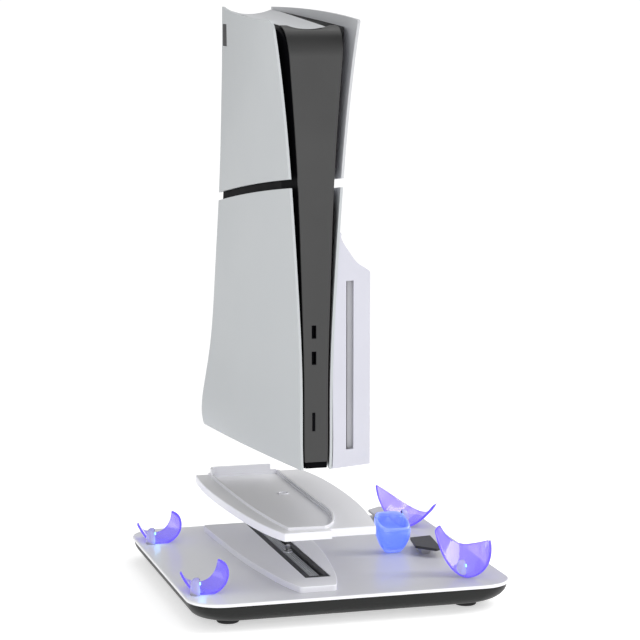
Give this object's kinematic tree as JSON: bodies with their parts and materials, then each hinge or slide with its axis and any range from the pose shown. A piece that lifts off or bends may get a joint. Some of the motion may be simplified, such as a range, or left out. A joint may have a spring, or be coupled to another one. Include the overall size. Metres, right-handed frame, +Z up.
{
  "type": "game console on a charging stand",
  "caption": "Upright game console with twisted white side covers and a disc drive, shown raised above its docking tray and a square charging base with curved controller cradles.",
  "frame": {"origin": "centre of the base's outline, on the floor under its feet", "axes": "+Z up, -Y towards the front with the disc slot and power button, +X to the right seen from the front"},
  "size_m": [0.264, 0.2635, 0.4749],
  "materials": {
    "white_shell": "smooth white moulding with a soft sheen",
    "panel_white": "fine-grained cool white",
    "cover_white": "fine-grained lilac white",
    "tub_dark": "charcoal, fine texture",
    "rubber_black": "matt",
    "channel_grey": "ribbed light grey",
    "steel": "turned and stamped steel",
    "board_green": "circuit board with solder mask",
    "chip_black": "moulded package",
    "violet_clear": "tinted clear moulding",
    "blue_clear": "tinted clear moulding",
    "post_white": "smooth",
    "pin_dark": "dark plated spring pins",
    "cyan_light": "lit window",
    "flap_dark": "soft dark facing",
    "flap_grey": "light grey",
    "core_black": "black with a faint sheen",
    "band_grey": "dark grey satin strip",
    "aluminium_fin": "stamped",
    "supply_dark": "slotted case",
    "drive_metal": "pressed drive case",
    "roof_light": "fine-grained light grey"
  },
  "bodies": {
    "base": {"base_tub": "tub_dark", "base_top_plate": "white_shell", "rubber_feet": "rubber_black", "base_screws": "steel", "riser_pad": "white_shell", "channel_gasket": "rubber_black", "channel_insert": "channel_grey", "stud_washer": "white_shell", "charge_board": "board_green", "charge_chips": "chip_black", "power_inlet": "steel", "cradle_left_front": "violet_clear", "cradle_left_rear": "violet_clear", "cradle_right_front": "violet_clear", "cradle_right_rear": "violet_clear", "contact_posts": "post_white", "contact_pins": "pin_dark", "light_windows": "cyan_light", "stow_cup": "blue_clear", "rest_flap_front": "flap_dark", "rest_flap_rear": "flap_grey", "flap_feet": "flap_grey"},
    "dock": {"dock_plate": "white_shell", "tray_rim": "white_shell", "tray_back_wall": "white_shell", "tray_ring": "white_shell"},
    "console": {"left_upper_panel": "panel_white", "left_lower_panel": "panel_white", "right_upper_panel": "panel_white", "right_lower_panel": "panel_white", "drive_cover": "cover_white", "board_screws": "steel", "front_ports": "steel", "rear_ports": "steel", "main_board": "board_green", "storage_module": "chip_black", "panel_inset": "chip_black", "power_switch": "chip_black", "top_cap": "roof_light", "slot_seal": "roof_light", "core_shell_left": "core_black", "core_shell_right": "core_black", "rear_grille": "core_black", "bottom_trim": "core_black", "fan_housing": "core_black", "front_band": "band_grey", "heat_sink": "aluminium_fin", "board_shield": "aluminium_fin", "power_supply": "supply_dark", "disc_drive": "drive_metal"},
    "stud": {"locating_stud": "steel"},
    "fan": {"fan_rotor": "core_black"},
    "button": {"power_button": "core_black"},
    "spindle": {"disc_spindle": "steel"},
    "roller_inner": {"feed_roller_inner": "rubber_black"},
    "roller_outer": {"feed_roller_outer": "rubber_black"}
  },
  "joints": [
    {"name": "dock_drop", "type": "slide", "parent": "base", "child": "dock", "axis": [0, 0, -1], "range_m": [0, 0.0343]},
    {"name": "console_drop", "type": "slide", "parent": "dock", "child": "console", "axis": [0, 0, -1], "range_m": [0, 0.0454]},
    {"name": "stud_turn", "type": "hinge", "parent": "base", "child": "stud", "pos_m": [-0.0196, 0.0095, 0.024], "axis": [0, 0, 1], "continuous": true},
    {"name": "fan_turn", "type": "hinge", "parent": "console", "child": "fan", "pos_m": [-0.0305, 0.0222, 0.2374], "axis": [1, 0, 0], "continuous": true},
    {"name": "power_press", "type": "slide", "parent": "console", "child": "button", "axis": [0, 1, 0], "range_m": [0, 0.0007], "stiffness_N_per_m": 600},
    {"name": "disc_turn", "type": "hinge", "parent": "console", "child": "spindle", "pos_m": [0.0057, -0.0198, 0.1962], "axis": [1, 0, 0], "continuous": true},
    {"name": "feed_inner_turn", "type": "hinge", "parent": "console", "child": "roller_inner", "pos_m": [0.0011, -0.0768, 0.1954], "axis": [0, 0, 1], "continuous": true},
    {"name": "feed_outer_turn", "type": "hinge", "parent": "console", "child": "roller_outer", "pos_m": [0.0047, -0.0768, 0.1954], "axis": [0, 0, 1], "continuous": true}
  ],
  "couplings": [
    {"joint": "feed_outer_turn", "follows": "feed_inner_turn", "ratio": -1}
  ]
}
